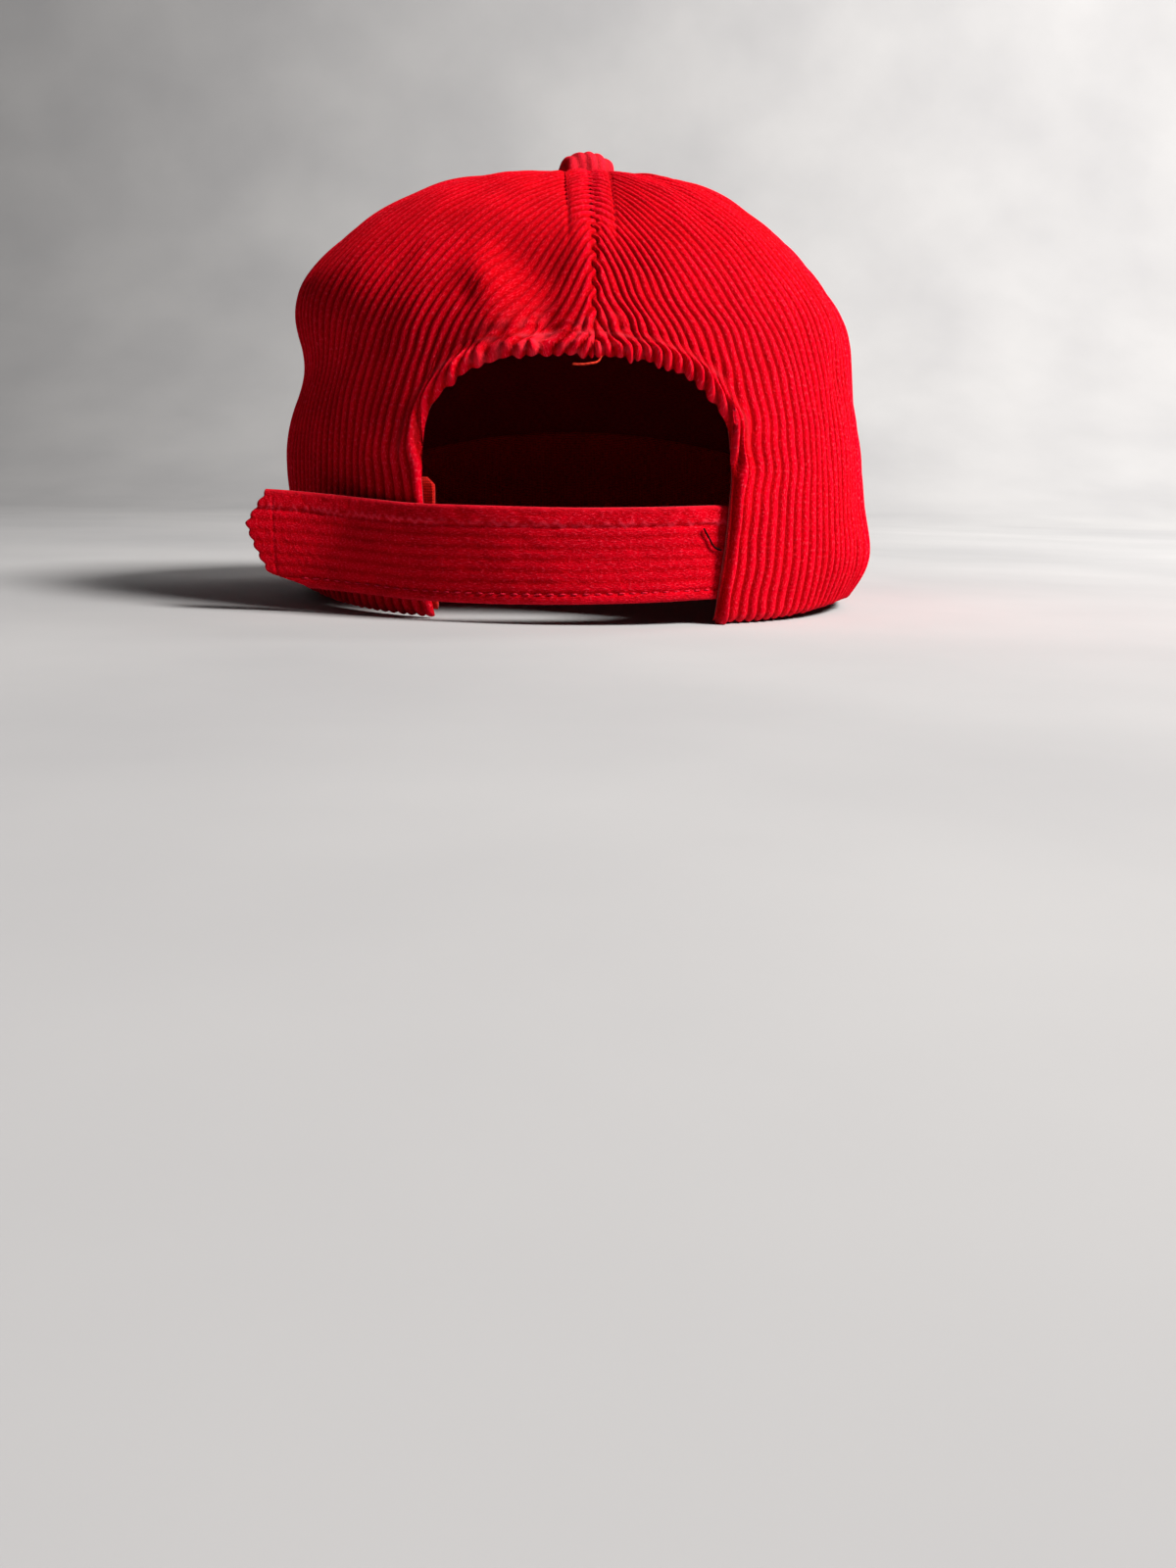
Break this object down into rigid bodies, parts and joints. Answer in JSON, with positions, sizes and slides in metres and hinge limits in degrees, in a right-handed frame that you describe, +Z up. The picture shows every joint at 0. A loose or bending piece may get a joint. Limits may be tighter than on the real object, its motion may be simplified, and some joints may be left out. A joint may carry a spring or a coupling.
{
  "type": "corduroy trucker cap",
  "caption": "Tall structured corduroy cap with a curved visor, a covered top button and an adjustable strap across an arched opening at the back.",
  "frame": {"origin": "under the middle of the whole cap's box, on the level surface that the cap rests on", "axes": "+Y towards the tip of the visor, the way the wearer looks; +X to the wearer's right; +Z up"},
  "size_m": [0.1864, 0.2668, 0.1375],
  "materials": {
    "corduroy": "matt ribbed cotton pile",
    "visor_lining": "matt plain-woven cotton",
    "band_cotton": "matt plain-woven cotton",
    "strap_corduroy": "matt ribbed cotton pile",
    "fastener": "matt looped pile"
  },
  "bodies": {
    "root": {"front_panel": "corduroy", "side_panel_right": "corduroy", "back_panel_right": "corduroy", "back_panel_left": "corduroy", "side_panel_left": "corduroy", "top_button": "corduroy", "visor_top": "corduroy", "visor_under": "visor_lining", "sweatband": "band_cotton", "back_strap": "strap_corduroy", "closure_patch": "fastener"}
  },
  "joints": []
}
